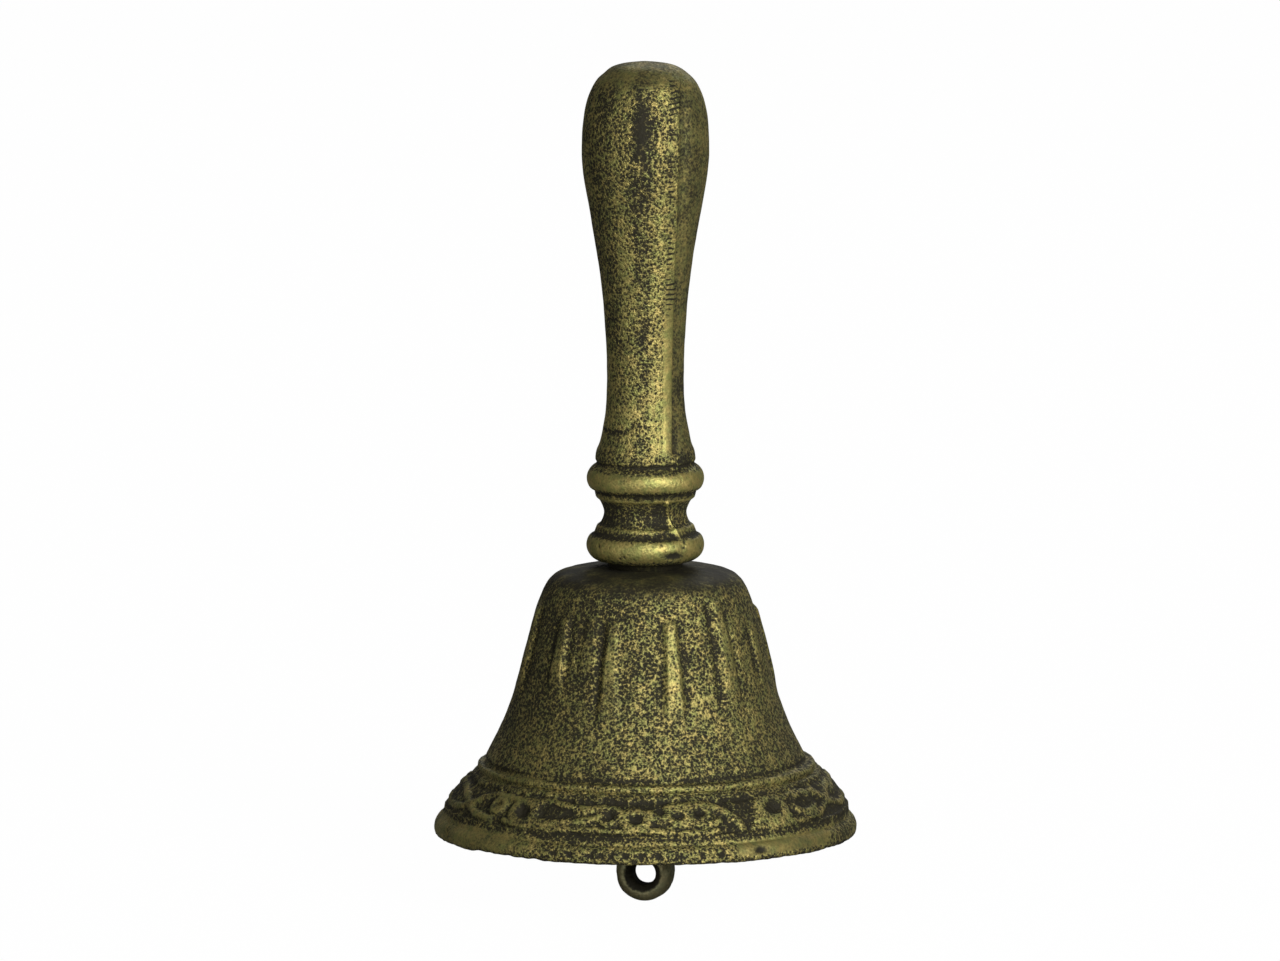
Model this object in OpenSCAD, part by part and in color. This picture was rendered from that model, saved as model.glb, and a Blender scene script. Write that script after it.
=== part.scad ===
// Hand dinner bell: a cast-iron bell under an upright iron grip. An eye bolt clamps the two
// together through the crown, and a closed ring hangs the clapper from the bolt's eye.
// The origin is on the bell's axis at the middle of the grip, where a hand holds it.
// +Z points up along the axis.

/* [Bell] */
// Outer diameter of the rim
rim_d = 101.6; // [100:0.1:103]
// Height from the rim to the handle's seat on the crown
bell_h = 64.1; // [63:0.1:66]
// Thickness of the crown
crown_t = 4; // [3.5:0.1:4.2]
// Number of upright ribs around the waist
rib_count = 12; // [6:1:16]
// Width of a rib
rib_w = 3.3; // [2:0.1:4]
// How far a rib stands out of the wall
rib_proud = 0.8; // [0.4:0.1:1.2]
// Angle of the first rib from +X
rib_phase = 14; // [0:1:29]
// Height of the ribs' lower ends, as a share of the bell's height
rib_low = 0.48; // [0.43:0.01:0.6]
// Height of the ribs' upper ends, as a share of the bell's height
rib_high = 0.845; // [0.7:0.005:0.87]

/* [Handle] */
// Height of the handle from its seat to its top
handle_h = 122.2; // [118:0.1:126]
// Largest diameter of the grip
grip_d = 30.5; // [29:0.1:32]
// Largest diameter of the two collar rings
collar_d = 28.2; // [26:0.1:29]
// Diameter of the foot on the crown
foot_d = 17.4; // [16:0.1:18]
// Height of the middle of the grip above the handle's seat
grip_mid = 74; // [70:1:78]

/* [Bolt and nut] */
// Diameter of the bolt, M6
bolt_d = 6; // [5.9:0.1:6.1]
// Length of bolt inside the handle
bolt_grip = 24; // [18:1:30]
// Radial clearance of the bolt in its holes
bolt_gap = 0.05; // [0.02:0.01:0.1]
// Width across the flats of the nut
nut_af = 10; // [10:0.1:10.2]
// Thickness of the thin nut
nut_t = 3.2; // [3:0.1:3.4]
// Outer diameter of the flat washer
washer_d = 18; // [14:0.5:24]
// Thickness of the flat washer
washer_t = 1.6; // [1.2:0.1:1.8]
// Outer diameter of the spring washer
spring_washer_d = 11.8; // [11:0.1:12.2]
// Height of the spring washer, pressed flat
spring_washer_t = 1.5; // [1.3:0.1:1.6]

/* [Hanging train] */
// Wire diameter of the bolt's eye
eye_wire = 3.8; // [3.6:0.1:3.9]
// Wire diameter of the hanger ring
ring_wire = 2.6; // [2.4:0.1:2.7]
// Wire diameter of the clapper's top eye
top_eye_wire = 3.5; // [3.3:0.1:3.6]
// Radius of the wire circle of the bolt's eye
eye_r = 4.7; // [4.6:0.1:4.8]
// Radius of the wire circle of the hanger ring
ring_r = 5.75; // [5.7:0.05:5.9]
// Radius of the wire circle of the clapper's top eye
top_eye_r = 4.3; // [4.2:0.05:4.4]
// Gap left where two links bear on each other
link_gap = 0.3; // [0.2:0.05:0.35]
// Turn of the whole train about the axis
train_yaw = -12; // [-45:1:45]

/* [Clapper] */
// How far the tail hangs below the rim
tail_drop = 16.9; // [16:0.1:18]
// Diameter of the striking ball
ball_d = 20; // [17:0.5:20.5]
// Height of the ball's centre above the rim
ball_up = 10.1; // [9.5:0.1:11]
// Diameter of the shank above the ball
shank_d = 5.4; // [4.5:0.1:6]
// Outer diameter of the tail ring
tail_d = 13.6; // [13:0.1:14.5]
// Thickness of the tail ring
tail_t = 7.4; // [6.5:0.1:8]
// Diameter of the straight part of the tail's hole
tail_hole_d = 5.6; // [5:0.1:6]
// Length of the straight part of the tail's hole
tail_land = 3; // [2:0.1:4]
// Radius of the tail ring's rounded edges
tail_round = 2.2; // [1.5:0.1:2.4]

/* [Hidden] */

iron = "#6b6640";
steel = "#8d8f92";
cut = 0.5; // how far a cutting solid runs past the face it cuts

nut_to_eye = 0.2; // gap between the nut and the bolt's eye
eye_root = 0.3; // how far the bolt's shank starts below the wire circle of its eye
bolt_end_gap = 1; // empty depth left above the bolt in the handle
washer_gap = 0.2; // radial clearance of the flat washer on the bolt
split_w = 0.8; // width of the spring washer's split
split_lean = 20; // lean of the split from the axis
split_turn = 40; // turn of the split about the axis

seat_z = -grip_mid;
rim_z = seat_z - bell_h;
rim_r = rim_d / 2;
underside_z = seat_z - crown_t;
hole_r = bolt_d / 2 + bolt_gap;

washer_z = underside_z - washer_t;
spring_washer_z = washer_z - spring_washer_t;
nut_z = spring_washer_z - nut_t;
eye_z = nut_z - nut_to_eye - eye_wire / 2 - eye_r;
ring_top_z = eye_z - eye_r + (eye_wire + ring_wire) / 2 + link_gap;
ring_z = ring_top_z - ring_r;
top_eye_top_z = ring_z - ring_r + (ring_wire + top_eye_wire) / 2 + link_gap;
top_eye_z = top_eye_top_z - top_eye_r;
ball_z = rim_z + ball_up;
tail_z = rim_z - tail_drop + tail_d / 2;

// Outside of the bell from the seat to the bead, as shares of the rim's radius and the height
crown_knots = [[0.19, 1], [0.29, 0.996], [0.385, 0.983], [0.438, 0.965], [0.473, 0.931],
    [0.501, 0.878], [0.533, 0.8], [0.576, 0.672], [0.618, 0.541], [0.675, 0.417], [0.739, 0.312],
    [0.76, 0.283]];
// The band between the bead and the lip, in the same shares
band_knots = [[0.81, 0.236], [0.862, 0.2], [0.908, 0.157], [0.938, 0.12], [0.952, 0.102]];
// Inside of the bell from the crown to the mouth, in the same shares
inner_knots = [[0.335, 0.938], [0.395, 0.918], [0.43, 0.866], [0.465, 0.781], [0.502, 0.666],
    [0.543, 0.541], [0.598, 0.42], [0.66, 0.317], [0.729, 0.236], [0.814, 0.158], [0.872, 0.087],
    [0.9, 0.025], [0.908, 0]];
bead_r = 1.3;
bead_at = [0.779, 0.254];
lip_r = 3.3;
lip_up = 1.3; // height of the lip's thickest line above the rim
rib_root = 1; // how deep a rib is set into the wall

// The grip from its top to the collar, as shares of its radius and of the handle's height
grip_knots = [[0, 1], [0.45, 0.991], [0.667, 0.975], [0.822, 0.952], [0.945, 0.908], [1, 0.845],
    [0.97, 0.777], [0.842, 0.682], [0.719, 0.587], [0.64, 0.492], [0.604, 0.38], [0.62, 0.317],
    [0.706, 0.255], [0.77, 0.232], [0.79, 0.214], [0.785, 0.207]];
// The waist between the two collar rings, in the same shares
waist_knots = [[0.77, 0.143], [0.7, 0.129], [0.65, 0.111], [0.68, 0.094], [0.755, 0.08]];
collar_bulge = 3.8;
upper_collar_z = seat_z + 0.177 * handle_h;
lower_collar_z = seat_z + 0.045 * handle_h;
collar_in = collar_d / 2 - collar_bulge;
foot_fillet = [0.3, 1.3]; // how far the foot spreads and how high its spread starts

// Point at t, from 0 to 1, between b and c on the smooth curve through a, b, c and d
function between(a, b, c, d, t) = 0.5 * (2 * b + (c - a) * t
    + (2 * a - 5 * b + 4 * c - d) * t * t + (3 * b - a - 3 * c + d) * t * t * t);

// Smooth curve through all the knots, with each span drawn in a few short lines
function curve(knots, lines = 4) =
    let (last = len(knots) - 1)
    [for (i = [0 : last - 1], j = [0 : lines - 1])
        between(knots[max(i - 1, 0)], knots[i], knots[i + 1], knots[min(i + 2, last)], j / lines),
        knots[last]];

// Arc about a centre, from one angle to another
function arc(centre, r, from, to, lines = 10) =
    [for (j = [0 : lines]) let (a = from + (to - from) * j / lines) centre + r * [cos(a), sin(a)]];

// Shares turned into millimetres
function bell_mm(shares) = [for (s = shares) [s.x * rim_r, rim_z + s.y * bell_h]];
function grip_mm(shares) = [for (s = shares) [s.x * grip_d / 2, seat_z + s.y * handle_h]];

// Turns what is drawn along X and Z to the train's direction
module in_train() {
    rotate([0, 0, train_yaw]) children();
}

// Ring of round wire standing on edge, with its hole along Y
module wire_eye(r, wire_d, z) {
    translate([0, 0, z])
        rotate([90, 0, 0])
            rotate_extrude($fn = 72)
                translate([r, 0])
                    circle(d = wire_d, $fn = 32);
}

module handle() {
    outline = concat(
        curve(grip_mm(grip_knots)),
        arc([collar_in, upper_collar_z], collar_bulge, 62, -55),
        curve(grip_mm(waist_knots)),
        arc([collar_in, lower_collar_z], collar_bulge, 55, -80),
        [[foot_d / 2, seat_z] + foot_fillet, [foot_d / 2, seat_z], [0, seat_z]]);
    color(iron)
        difference() {
            rotate_extrude($fn = 96) polygon(outline);
            translate([0, 0, seat_z - cut])
                cylinder(r = hole_r, h = bolt_grip + bolt_end_gap + cut, $fn = 48);
        }
}

// Strips of the bell's wall, thickened by rib_proud, cut into upright ribs
module ribs() {
    face = curve(bell_mm([for (k = crown_knots) if (k.y < 0.9 && k.y > 0.4) k]));
    outer = [for (p = face) p + [rib_proud, 0]];
    inner = [for (i = [len(face) - 1 : -1 : 0]) face[i] - [rib_root, 0]];
    intersection() {
        rotate_extrude($fn = 120) polygon(concat(outer, inner));
        for (i = [0 : rib_count - 1])
            rotate([0, 0, rib_phase + i * 360 / rib_count])
                translate([0, -rib_w / 2, rim_z + rib_low * bell_h])
                    cube([rim_r, rib_w, (rib_high - rib_low) * bell_h]);
    }
}

module bell_body() {
    outline = concat(
        [[hole_r, seat_z]],
        curve(bell_mm(crown_knots)),
        arc(bell_mm([bead_at])[0], bead_r, 125, -50, 8),
        curve(bell_mm(band_knots), 3),
        arc([rim_r - lip_r, rim_z + lip_up], lip_r, 66, -asin(lip_up / lip_r)),
        curve(bell_mm([for (i = [len(inner_knots) - 1 : -1 : 0]) inner_knots[i]])),
        [[hole_r, underside_z]]);
    color(iron) {
        rotate_extrude($fn = 120) polygon(outline);
        ribs();
    }
}

module eye_bolt() {
    color(steel) {
        in_train() wire_eye(eye_r, eye_wire, eye_z);
        translate([0, 0, eye_z + eye_r - eye_root])
            cylinder(d = bolt_d, h = seat_z + bolt_grip - eye_z - eye_r + eye_root, $fn = 48);
    }
}

module crown_washer() {
    color(steel)
        translate([0, 0, washer_z])
            difference() {
                cylinder(d = washer_d, h = washer_t, $fn = 72);
                translate([0, 0, -cut])
                    cylinder(r = bolt_d / 2 + washer_gap, h = washer_t + 2 * cut, $fn = 48);
            }
}

// Spring washer with its slanted split
module lock_washer() {
    color(steel)
        translate([0, 0, spring_washer_z])
            difference() {
                cylinder(d = spring_washer_d, h = spring_washer_t, $fn = 72);
                translate([0, 0, -cut])
                    cylinder(r = hole_r, h = spring_washer_t + 2 * cut, $fn = 48);
                rotate([0, 0, split_turn])
                    rotate([split_lean, 0, 0])
                        translate([0, -split_w / 2, -2 * spring_washer_t])
                            cube([spring_washer_d, split_w, 5 * spring_washer_t]);
            }
}

// Thin hexagon nut with its corners turned off at both ends
module crown_nut() {
    corner_r = nut_af / 2 / cos(30);
    chamfer = corner_r - nut_af / 2;
    color(steel)
        translate([0, 0, nut_z])
            difference() {
                intersection() {
                    cylinder(r = corner_r, h = nut_t, $fn = 6);
                    rotate_extrude($fn = 72)
                        polygon([[0, 0], [nut_af / 2, 0], [corner_r, chamfer / 2],
                            [corner_r, nut_t - chamfer / 2], [nut_af / 2, nut_t], [0, nut_t]]);
                }
                translate([0, 0, -cut]) cylinder(r = hole_r, h = nut_t + 2 * cut, $fn = 48);
            }
}

module hanger_ring() {
    color(steel)
        rotate([0, 0, train_yaw + 90]) wire_eye(ring_r, ring_wire, ring_z);
}

// Tail of the clapper: a thick ring with rounded edges and a flared hole, which widens
// into a flat tongue up to the ball
module tail() {
    r = tail_d / 2;
    half_t = tail_t / 2;
    hole = tail_hole_d / 2;
    flare = half_t - tail_land / 2;
    neck_z = tail_z + 5;
    top_z = ball_z - ball_d / 2 + 2;
    tongue = [[-r, tail_z], [-r, neck_z], [1 - r, top_z], [r - 1, top_z], [r, neck_z], [r, tail_z]];
    front_edge = arc([r - tail_round, half_t - tail_round], tail_round, 90, 0, 5);
    back_edge = arc([r - tail_round, tail_round - half_t], tail_round, 0, -90, 5);
    mouth = arc([hole + flare, tail_land / 2], flare, 180, 110, 5);
    mouth_r = mouth[len(mouth) - 1].x;
    difference() {
        union() {
            translate([0, 0, tail_z])
                rotate([90, 0, 0])
                    rotate_extrude($fn = 72)
                        polygon(concat([[0, half_t]], front_edge, back_edge, [[0, -half_t]]));
            rotate([90, 0, 0])
                linear_extrude(tail_t - tail_round, center = true) polygon(tongue);
        }
        for (side = [0, 180])
            translate([0, 0, tail_z])
                rotate([90 + side, 0, 0])
                    rotate_extrude($fn = 48)
                        polygon(concat([[0, -cut], [hole, -cut]], mouth,
                            [[mouth_r, half_t + cut], [0, half_t + cut]]));
    }
}

module clapper() {
    color(iron)
        in_train() {
            wire_eye(top_eye_r, top_eye_wire, top_eye_z);
            translate([0, 0, ball_z])
                cylinder(d = shank_d, h = top_eye_z - top_eye_r - ball_z, $fn = 48);
            translate([0, 0, ball_z]) sphere(d = ball_d, $fn = 72);
            tail();
        }
}

handle();
bell_body();
eye_bolt();
crown_washer();
lock_washer();
crown_nut();
hanger_ring();
clapper();
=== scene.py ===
from math import asin, atan2, cos, degrees, exp, hypot, pi, radians, sin, tan

import bmesh
import bpy
from mathutils import Matrix, Vector, noise


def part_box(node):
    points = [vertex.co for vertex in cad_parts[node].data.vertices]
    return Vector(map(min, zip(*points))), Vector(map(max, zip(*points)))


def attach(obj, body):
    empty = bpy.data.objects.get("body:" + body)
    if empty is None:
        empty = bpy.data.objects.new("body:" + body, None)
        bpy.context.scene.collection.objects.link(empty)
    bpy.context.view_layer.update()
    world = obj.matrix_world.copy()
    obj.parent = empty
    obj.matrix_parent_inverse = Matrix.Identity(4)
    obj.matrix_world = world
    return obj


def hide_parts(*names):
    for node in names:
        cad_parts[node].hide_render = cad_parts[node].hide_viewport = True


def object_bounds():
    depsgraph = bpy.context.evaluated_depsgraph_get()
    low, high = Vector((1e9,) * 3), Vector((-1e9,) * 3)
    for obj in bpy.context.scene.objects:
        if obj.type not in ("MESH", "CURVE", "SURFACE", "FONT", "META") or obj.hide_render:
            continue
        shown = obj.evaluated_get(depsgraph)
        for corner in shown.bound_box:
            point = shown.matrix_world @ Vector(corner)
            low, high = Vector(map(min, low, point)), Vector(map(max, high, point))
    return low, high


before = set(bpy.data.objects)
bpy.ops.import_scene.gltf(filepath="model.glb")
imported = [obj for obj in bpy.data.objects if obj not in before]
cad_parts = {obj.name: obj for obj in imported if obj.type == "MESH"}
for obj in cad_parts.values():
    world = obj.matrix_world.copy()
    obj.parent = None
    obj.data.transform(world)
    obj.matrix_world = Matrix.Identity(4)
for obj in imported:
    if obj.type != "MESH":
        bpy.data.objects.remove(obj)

cad_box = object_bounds()


# ---------------------------------------------------------------------------------------------
# Bell body: grey cast iron, poured in a sand mould, with upright ribs round its waist, a bead
# and a running scroll band above a thick lip. It is painted black, then antique gold is rubbed
# over whatever stands proud, so the pits and hollows stay dark.
# ---------------------------------------------------------------------------------------------
mm = 0.001
bell_low, bell_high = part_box("bell_body")
rim_r = (bell_high[0] - bell_low[0]) / 2
rim_z = bell_low[2]
bell_h = bell_high[2] - bell_low[2]
bolt_hole_r = 3.05 * mm
crown_t = 4 * mm
bell_steps = 512

# Outline knots as shares of the rim's radius and the bell's height
CROWN = [(0.19, 1), (0.29, 0.996), (0.385, 0.983), (0.438, 0.965), (0.473, 0.931),
         (0.501, 0.878), (0.533, 0.8), (0.576, 0.672), (0.618, 0.541), (0.675, 0.417),
         (0.739, 0.312), (0.76, 0.283)]
BAND = [(0.81, 0.236), (0.862, 0.2), (0.908, 0.157), (0.938, 0.12), (0.952, 0.102)]
INSIDE = [(0.908, 0), (0.9, 0.025), (0.872, 0.087), (0.814, 0.158), (0.729, 0.236), (0.66, 0.317),
          (0.598, 0.42), (0.543, 0.541), (0.502, 0.666), (0.465, 0.781), (0.43, 0.866),
          (0.395, 0.918), (0.335, 0.938)]
bead_at = (0.779, 0.254)
bead_r = 1.3 * mm
lip_r = 3.3 * mm
lip_up = 1.3 * mm


def smooth_line(knots, lines):
    """Points of a smooth line through the knots, with each span drawn in a few short lines."""
    last = len(knots) - 1
    points = []
    for i in range(last):
        a, b = Vector(knots[max(i - 1, 0)]), Vector(knots[i])
        c, d = Vector(knots[i + 1]), Vector(knots[min(i + 2, last)])
        for j in range(lines):
            t = j / lines
            points.append(0.5 * (2 * b + (c - a) * t + (2 * a - 5 * b + 4 * c - d) * t * t
                                 + (3 * b - a - 3 * c + d) * t ** 3))
    return points + [Vector(knots[last])]


def round_line(centre, r, start, end, lines):
    """Points of an arc about a centre, from one angle to another in degrees."""
    angles = [radians(start + (end - start) * j / lines) for j in range(lines + 1)]
    return [Vector((centre[0] + r * cos(a), centre[1] + r * sin(a))) for a in angles]


def turned(outline, steps, closed):
    """A bmesh of the outline spun round the bell's axis. Each vertex keeps its place along the
    outline, in metres, in the layer "along"."""
    bm = bmesh.new()
    along = bm.verts.layers.float.new("along")
    run = 0
    verts = []
    for i, p in enumerate(outline):
        run += (p - outline[i - 1]).length if i else 0
        v = bm.verts.new((p[0], 0, p[1]))
        v[along] = run
        verts.append(v)
    pairs = list(zip(verts, verts[1:] + verts[:1])) if closed else list(zip(verts, verts[1:]))
    edges = [bm.edges.new(pair) for pair in pairs]
    # one wedge of the turn is spun, then doubled until the turn is full, which is far quicker
    doublings = 4
    wedges = 2 ** doublings
    wedge = 2 * pi / wedges
    bmesh.ops.spin(bm, geom=verts + edges, axis=(0, 0, 1), cent=(0, 0, 0), angle=wedge,
                   steps=steps // wedges, use_merge=False)
    for doubling in range(doublings):
        copy = bmesh.ops.duplicate(bm, geom=bm.verts[:] + bm.edges[:] + bm.faces[:])
        fresh = [g for g in copy["geom"] if isinstance(g, bmesh.types.BMVert)]
        bmesh.ops.rotate(bm, verts=fresh, cent=(0, 0, 0),
                         matrix=Matrix.Rotation(wedge * 2 ** doubling, 3, "Z"))
    seam_gap = 0.002 * mm
    bmesh.ops.remove_doubles(bm, verts=bm.verts, dist=seam_gap)
    bmesh.ops.recalc_face_normals(bm, faces=bm.faces)
    return bm


def piece_from(bm, name, material, body, nodes):
    """Turns a finished bmesh into a smooth-shaded object that stands for CAD nodes."""
    mesh = bpy.data.meshes.new(name)
    for face in bm.faces:
        face.smooth = True
    bm.to_mesh(mesh)
    bm.free()
    piece = bpy.data.objects.new(name, mesh)
    bpy.context.scene.collection.objects.link(piece)
    mesh.materials.append(material)
    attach(piece, body)
    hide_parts(*nodes)
    return piece


def step(x, start, end):
    """0 before start, 1 after end, and a smooth rise between."""
    t = min(max((x - start) / (end - start), 0), 1)
    return t * t * (3 - 2 * t)


def hump(x, centre, half_w):
    """A smooth hump of height 1 about a centre."""
    return exp(-((x - centre) / half_w) ** 2)


def window(x, start, end, soft):
    """1 between start and end, with soft edges outside them."""
    return step(x, start - soft, start) * (1 - step(x, end, end + soft))


def spot(x, y, at_x, at_y, half_x, half_y):
    """A smooth round hump of height 1 about a point."""
    return exp(-((x - at_x) / half_x) ** 2 - ((y - at_y) / half_y) ** 2)


def turn_from(a, b):
    """Degrees from azimuth b to azimuth a, between -180 and 180."""
    return (a - b + 180) % 360 - 180


def uneven(at, size):
    """Smooth noise between about -1 and 1, whose lumps have the given size."""
    return noise.noise(Vector(at) / size)


def push_out(moves):
    """Moves the vertices, once all of them are measured."""
    for v, move in moves:
        v.co += move


def bell_mm(knots):
    """Knots given as shares of the rim's radius and the bell's height, in metres."""
    return [(r * rim_r, rim_z + z * bell_h) for r, z in knots]


def linear(hex_colour):
    """sRGB hex to the linear RGBA that the shaders take."""
    parts = [int(hex_colour[i:i + 2], 16) / 255 for i in (1, 3, 5)]
    return [p / 12.92 if p <= 0.04045 else ((p + 0.055) / 1.055) ** 2.4 for p in parts] + [1]


def add(material, kind, settings=None, **inputs):
    """Adds a node, with its settings, and its inputs as values or as links from other sockets."""
    node = material.node_tree.nodes.new("ShaderNode" + kind)
    for name, value in (settings or {}).items():
        setattr(node, name, value)
    for name, value in inputs.items():
        key = int(name[1:]) if name[0] == "i" and name[1:].isdigit() else name.replace("_", " ")
        if isinstance(value, bpy.types.NodeSocket):
            material.node_tree.links.new(value, node.inputs[key])
        else:
            node.inputs[key].default_value = value
    return node


crown_line = smooth_line(bell_mm(CROWN), 7)
bead_start, bead_end = 125, -50
bead_line = round_line(bell_mm([bead_at])[0], bead_r, bead_start, bead_end, 11)
band_line = smooth_line(bell_mm(BAND), 10)
lip_start, lip_foot = 66, -degrees(asin(lip_up / lip_r))
lip_line = round_line((rim_r - lip_r, rim_z + lip_up), lip_r, lip_start, lip_foot, 14)
inside_line = smooth_line(bell_mm(INSIDE), 3)
underside_z = rim_z + bell_h - crown_t
to_lip_lines = 8
to_lip = [band_line[-1].lerp(lip_line[0], j / to_lip_lines) for j in range(1, to_lip_lines)]
bell_outline = ([Vector((bolt_hole_r, rim_z + bell_h))] + crown_line + bead_line + band_line
                + to_lip + lip_line + inside_line + [Vector((bolt_hole_r, underside_z))])

# Ribs as (azimuth in degrees, lower end and upper end in mm above the rim, height in mm, and the
# depth in mm of the hollows on its left and its right). The pattern was carved by hand, so no
# two ribs are quite alike.
RIBS = [
    (-46, 39, 54, 0.8, 0.4, 0.2), (-29, 44, 55, 0.3, 0.1, 0.1), (-16.5, 33, 54, 0.8, 0.55, 0.1),
    (13, 33, 54.5, 0.8, 0.35, 0.5), (42, 36, 58.5, 0.75, 0.7, 0.45), (69, 38, 52.5, 0.5, 0.4, 0.4),
    (99, 36, 54, 0.8, 0.5, 0.2), (130, 34, 55, 0.8, 0.3, 0.5), (160, 38, 53, 0.7, 0.5, 0.4),
    (191, 34, 54.5, 0.8, 0.4, 0.3), (221, 36, 57, 0.8, 0.6, 0.3), (252, 39, 54, 0.7, 0.3, 0.5),
    (284, 37, 55, 0.8, 0.4, 0.3)]


def loop(azimuth, up, across, high, lines=18):
    """Points of an oval ring, with its half width in degrees and its half height in mm."""
    turns = [2 * pi * j / lines for j in range(lines + 1)]
    return [(azimuth + across * cos(a), up + high * sin(a)) for a in turns]


def line(*knots):
    """Points of a stroke that flows through its knots."""
    return [tuple(p) for p in smooth_line(knots, 4)]


# Scroll band of one half of the bell, as (points, half width in mm). A point is in degrees of
# azimuth and in mm above the rim. The other half is alike, half a turn on.
SCROLL = [
    (line((-90, 13.2), (-80, 12.6), (-74, 11.6), (-67, 10.0), (-60, 8.4), (-53, 8.2)), 0.75),
    (line((-56, 13.3), (-61, 12.2), (-67, 10.0), (-73, 8.6), (-82, 8.2), (-90, 9.2)), 0.75),
    (loop(-51.5, 11.2, 2.6, 1.3), 0.75), (line((-56, 13.3), (-50, 13.4), (-44, 13.0)), 0.6),
    (loop(-40, 10.6, 4.0, 2.3), 1.05),
    (line((-37, 12.9), (-31, 13.4), (-24, 12.7), (-18, 12.3), (-13, 12.9)), 0.7),
    (line((-37, 8.8), (-30, 8.7), (-24, 9.2), (-18, 10.0), (-14, 11.2)), 0.95),
    (loop(-11, 11.1, 3.2, 1.5), 0.85), (loop(-3, 10.3, 3.6, 1.7), 0.95),
    (line((1, 11.6), (5, 10.4), (8, 12.3)), 0.9),
    (loop(10, 11.0, 3.1, 1.5), 0.8), (loop(16.6, 11.6, 3.0, 1.4), 0.8),
    (line((7, 12.8), (13, 13.6), (20, 13.0), (25, 11.4), (28.5, 9.2), (29, 7.6)), 1.0),
    (line((-46, 8.1), (-38, 7.6), (-28, 7.5), (-18, 7.9), (-8, 7.6), (1, 8.0), (8, 7.4)), 0.7),
    (line((8, 9.0), (14, 9.3), (19, 9.0), (22, 9.6)), 0.8),
    (line((11, 7.4), (17, 7.2), (21, 7.6)), 0.7),
    (loop(42.3, 11.2, 4.9, 2.5), 1.25), (line((36, 8.9), (42, 8.3), (48, 8.9)), 1.0),
    (loop(57, 11.2, 4.6, 2.1), 0.9), (line((49, 12.9), (54, 13.7), (60, 13.3), (65, 12.2)), 0.6),
    (line((33, 7.6), (39, 7.3), (47, 7.6), (55, 7.9), (63, 8.6), (70, 10.4), (76, 12.4),
          (82, 13.2)), 0.75),
    (line((64, 12.8), (70, 10.4), (76, 8.8), (83, 8.4), (90, 9.2)), 0.75),
    (line((78, 11.0), (84, 12.2), (90, 13.2)), 0.7)]
# the band's middle radius turns degrees to mm, and its slant makes it wider than it is high
band_mid_r = 44.5
mm_per_degree = radians(1) * band_mid_r
band_slant = 1.3
scroll_low = 6.9
scroll_high = 13.7


def near_stroke(x, y, points):
    """Distance from (x, y) to a chain of points."""
    best = 1e9
    for (ax, ay), (bx, by) in zip(points, points[1:]):
        dx, dy = bx - ax, by - ay
        t = min(max(((x - ax) * dx + (y - ay) * dy) / (dx * dx + dy * dy + 1e-12), 0), 1)
        best = min(best, hypot(x - ax - t * dx, y - ay - t * dy))
    return best


# The strokes on the unrolled band, in mm, each with the stretch of the band that it can reach
reach = 3
STROKES = []
for points, half_w in SCROLL:
    points = [(a * mm_per_degree, up * band_slant) for a, up in points]
    across = [x for x, y in points]
    STROKES.append((points, half_w, min(across) - reach, max(across) + reach))


def scroll_height(azimuth, up):
    """Height of the scroll's strokes over their ground, from 0 to 1."""
    x = (azimuth if abs(azimuth) < 90 else turn_from(azimuth, 180)) * mm_per_degree
    y = up * band_slant
    # a carver's hand wavers, and the sand blurs what it carved
    waver, waver_size = 0.5, 2.6
    x += waver * noise.noise(Vector((x / waver_size, y / waver_size, 2.2)))
    y += waver * noise.noise(Vector((x / waver_size, y / waver_size, 7.9)))
    height = 0
    for points, half_w, start, end in STROKES:
        if start < x < end:
            away = near_stroke(x, y, points)
            height = max(height, 1 - step(away, half_w * 0.65, half_w * 1.75))
    return height


bell = turned(bell_outline, bell_steps, True)
along = bell.verts.layers.float["along"]
rub_and_painted_light = bell.verts.layers.float.new("rub_and_painted_light")
film = bell.verts.layers.float.new("film")
lengths = [0]
for a, b in zip(bell_outline, bell_outline[1:]):
    lengths.append(lengths[-1] + (b - a).length)
crown_end = lengths[len(crown_line)]
band_start = lengths[1 + len(crown_line) + len(bead_line)]
lip_end = lengths[sum(map(len, (crown_line, bead_line, band_line, to_lip, lip_line)))]


# Sizes of the ribs in mm: the half width at the top and how much it grows for each mm further
# down, the gap to the hollows and their half width, and how far from a rib its relief reaches
rib_half_top = 1.15
rib_growth = 0.05
hollow_gap = 1.4
hollow_half = 0.8
rib_reach = 6
ribs_low, ribs_high = 28, 61


def rib_relief(azimuth, up, r):
    """Lift in mm, wear and smoothness of the ribs and the hollows beside them."""
    lift, worn, smooth = 0, 0, 0
    for number, (rib_azimuth, low, high, proud, left, right) in enumerate(RIBS):
        off = radians(turn_from(azimuth, rib_azimuth)) * r
        if abs(off) < rib_reach:
            off += 0.3 * noise.noise(Vector((up / 6, number * 3.1, 0.7)))
            half = rib_half_top + rib_growth * max(high - up, 0)
            # a rib fades out slowly at its foot and ends short at its top
            ends = step(up, low - 5, low + 4) * (1 - step(up, high - 1.0, high + 1.2))
            rib = (1 - step(abs(off), half - 0.6, half + 0.8)) * ends
            side = left if off < 0 else right
            side *= 1 + 0.7 * noise.noise(Vector((up / 7, number, 4.0)))
            hollow = 0.65 * side * ends * hump(abs(off), half + hollow_gap, hollow_half)
            lift += proud * rib - hollow
            worn += 0.6 * proud * rib - 2.8 * hollow
            smooth = max(smooth, 0.4 * rib)
    return lift, worn, smooth


# Stretches round the bell in degrees of azimuth, as (start, end, softness of both ends)
LEFT_THIN = (-122, -60, 18)
LEFT_SMOOTH = (-130, -52, 14)
LEFT_PAINTED_SHADE = (-64, -28, 16)
RIGHT_PAINTED_LIGHT = (18, 52, 16)
RIGHT_FULL = (68, 114, 18)
RAGGED_RIM = (-52, -31, 3)
GROUND_FLAT = (27, 60, 1.5)
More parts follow.
